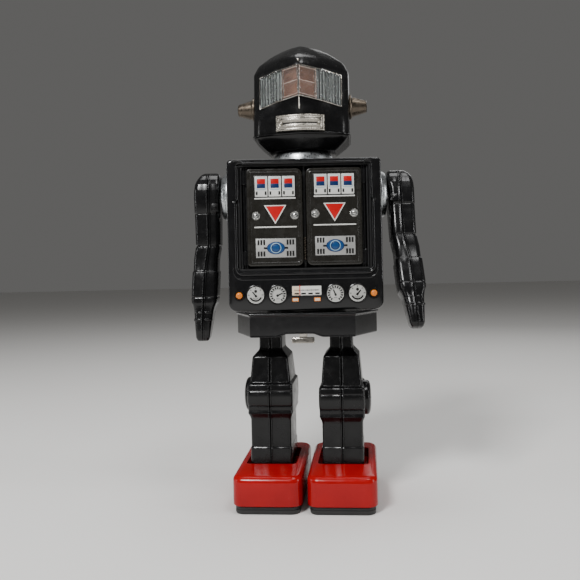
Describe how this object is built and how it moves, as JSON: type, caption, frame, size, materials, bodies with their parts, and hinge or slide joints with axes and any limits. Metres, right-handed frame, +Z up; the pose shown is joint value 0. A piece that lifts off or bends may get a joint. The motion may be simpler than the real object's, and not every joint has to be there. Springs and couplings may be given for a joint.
{
  "type": "toy robot",
  "caption": "Walking battery toy robot with a turning upper body, opening chest doors over recoiling guns, swinging arms, shuffling legs and roller feet.",
  "frame": {"origin": "on the floor, under the middle of the robot's bounding box, in the gap between the feet", "axes": "+Z up; the chest and head face -Y; +X is the robot's own left"},
  "size_m": [0.1472, 0.0862, 0.293],
  "materials": {
    "black_tin": "gloss enamel on tinplate",
    "door_print": "gloss printed tinplate",
    "black_plastic": "gloss moulded, with a seam",
    "red_plastic": "gloss moulded",
    "sole_black": "satin moulded",
    "silver_paint": "silver-grey satin",
    "ear_metal": "silver-bronze satin",
    "nickel": "bright nickel plate",
    "steel": "zinc-plated steel",
    "brass": "machined",
    "nylon": "natural nylon",
    "clear_plastic": "clear moulded",
    "amber_panel": "tinted translucent",
    "lamp_glass": "clear lamp glass",
    "lamp_red": "red translucent",
    "cell_jacket": "printed jacket",
    "grey_plastic": "moulded"
  },
  "bodies": {
    "lower_body": {"hip_shell": "black_tin", "hip_lid": "black_tin", "sun_gear": "nylon"},
    "power_switch": {"power_switch": "nickel"},
    "crankshaft": {"crankshaft": "steel", "crown_gear": "brass"},
    "drive_shaft": {"drive_shaft": "steel"},
    "torso": {"torso_shell": "black_tin", "torso_base": "black_tin", "chest_tray": "grey_plastic", "battery_box": "grey_plastic", "battery_door_pin": "steel", "contact_bridge": "nickel", "motor_can": "nickel", "neck_ring": "silver_paint", "cell_left": "cell_jacket", "cell_right": "cell_jacket", "cell_spring_left": "nickel", "cell_spring_right": "nickel", "shoulder_disc_left": "silver_paint", "shoulder_disc_right": "silver_paint", "door_pin_left": "steel", "door_pin_right": "steel", "head_shell": "black_plastic", "head_base": "black_plastic", "visor": "clear_plastic", "visor_panel": "amber_panel", "mouth_grille": "nickel", "head_lamp": "lamp_glass", "ear_left": "ear_metal", "ear_right": "ear_metal"},
    "turning_gear": {"turning_gear": "nylon"},
    "motor_pinion": {"motor_pinion": "brass"},
    "battery_door": {"battery_door": "black_tin"},
    "chest_door_left": {"chest_door_left": "door_print"},
    "gun_left": {"gun_left": "silver_paint", "gun_lamp_left": "lamp_red"},
    "arm_left": {"arm_outer_left": "black_plastic", "arm_inner_left": "black_plastic", "shoulder_axle_left": "steel"},
    "leg_left": {"leg_outer_left": "black_plastic", "leg_inner_left": "black_plastic", "leg_hanger_left": "steel", "foot_shell_left": "red_plastic", "sole_left": "sole_black"},
    "roller_front_left": {"roller_front_left": "nylon"},
    "roller_rear_left": {"roller_rear_left": "nylon"},
    "chest_door_right": {"chest_door_right": "door_print"},
    "gun_right": {"gun_right": "silver_paint", "gun_lamp_right": "lamp_red"},
    "arm_right": {"arm_outer_right": "black_plastic", "arm_inner_right": "black_plastic", "shoulder_axle_right": "steel"},
    "leg_right": {"leg_outer_right": "black_plastic", "leg_inner_right": "black_plastic", "leg_hanger_right": "steel", "foot_shell_right": "red_plastic", "sole_right": "sole_black"},
    "roller_front_right": {"roller_front_right": "nylon"},
    "roller_rear_right": {"roller_rear_right": "nylon"}
  },
  "joints": [
    {"name": "waist_turn", "type": "hinge", "parent": "lower_body", "child": "torso", "pos_m": [0, 0.00299, 0.125], "axis": [0, 0, 1], "continuous": true},
    {"name": "turning_gear_spin", "type": "hinge", "parent": "torso", "child": "turning_gear", "pos_m": [0.0196, 0.00299, 0.13], "axis": [0, 0, 1], "continuous": true},
    {"name": "motor_spin", "type": "hinge", "parent": "torso", "child": "motor_pinion", "pos_m": [0.0196, -0.01381, 0.1336], "axis": [0, 0, 1], "continuous": true},
    {"name": "crank_turn", "type": "hinge", "parent": "lower_body", "child": "crankshaft", "pos_m": [0, 0.00299, 0.113], "axis": [0.9962, -0.0872, 0], "continuous": true},
    {"name": "drive_shaft_spin", "type": "hinge", "parent": "lower_body", "child": "drive_shaft", "pos_m": [0, 0.00299, 0.1174], "axis": [0, 0, 1], "continuous": true},
    {"name": "leg_left_slide", "type": "slide", "parent": "lower_body", "child": "leg_left", "axis": [0.0872, 0.9962, 0], "range_m": [-0.005, 0.005]},
    {"name": "leg_right_slide", "type": "slide", "parent": "lower_body", "child": "leg_right", "axis": [0.0872, 0.9962, 0], "range_m": [-0.005, 0.005]},
    {"name": "roller_front_left_spin", "type": "hinge", "parent": "leg_left", "child": "roller_front_left", "pos_m": [0.02053, -0.0239, 0.0074], "axis": [0.9962, -0.0872, 0], "continuous": true},
    {"name": "roller_rear_left_spin", "type": "hinge", "parent": "leg_left", "child": "roller_rear_left", "pos_m": [0.02454, 0.02192, 0.0074], "axis": [0.9962, -0.0872, 0], "continuous": true},
    {"name": "roller_front_right_spin", "type": "hinge", "parent": "leg_right", "child": "roller_front_right", "pos_m": [-0.02489, -0.01993, 0.0074], "axis": [0.9962, -0.0872, 0], "continuous": true},
    {"name": "roller_rear_right_spin", "type": "hinge", "parent": "leg_right", "child": "roller_rear_right", "pos_m": [-0.02088, 0.0259, 0.0074], "axis": [0.9962, -0.0872, 0], "continuous": true},
    {"name": "power_switch_slide", "type": "slide", "parent": "lower_body", "child": "power_switch", "axis": [0.9962, -0.0872, 0], "range_m": [0, 0.006]},
    {"name": "chest_door_left_hinge", "type": "hinge", "parent": "torso", "child": "chest_door_left", "pos_m": [0.0372, -0.02421, 0.18], "axis": [0, 0, 1], "range_deg": [0, 80]},
    {"name": "chest_door_right_hinge", "type": "hinge", "parent": "torso", "child": "chest_door_right", "pos_m": [-0.0372, -0.02421, 0.18], "axis": [0, 0, 1], "range_deg": [-80, 0]},
    {"name": "gun_left_recoil", "type": "slide", "parent": "torso", "child": "gun_left", "axis": [0, 1, 0], "range_m": [-0.00175, 0.00175]},
    {"name": "gun_right_recoil", "type": "slide", "parent": "torso", "child": "gun_right", "axis": [0, 1, 0], "range_m": [-0.00175, 0.00175]},
    {"name": "battery_door_hinge", "type": "hinge", "parent": "torso", "child": "battery_door", "pos_m": [0, 0.03639, 0.1466], "axis": [-1, 0, 0], "range_deg": [0, 110]},
    {"name": "arm_left_swing", "type": "hinge", "parent": "torso", "child": "arm_left", "pos_m": [0.0619, 0.00299, 0.1958], "axis": [-1, 0, 0], "continuous": true},
    {"name": "arm_right_swing", "type": "hinge", "parent": "torso", "child": "arm_right", "pos_m": [-0.0619, 0.00299, 0.1958], "axis": [-1, 0, 0], "continuous": true}
  ],
  "couplings": [
    {"joint": "turning_gear_spin", "follows": "waist_turn", "ratio": 2.5},
    {"joint": "motor_spin", "follows": "waist_turn", "ratio": -5},
    {"joint": "drive_shaft_spin", "follows": "crank_turn", "ratio": -0.72727},
    {"joint": "leg_right_slide", "follows": "leg_left_slide", "ratio": -1},
    {"joint": "chest_door_right_hinge", "follows": "chest_door_left_hinge", "ratio": -1},
    {"joint": "gun_right_recoil", "follows": "gun_left_recoil", "ratio": -1}
  ]
}
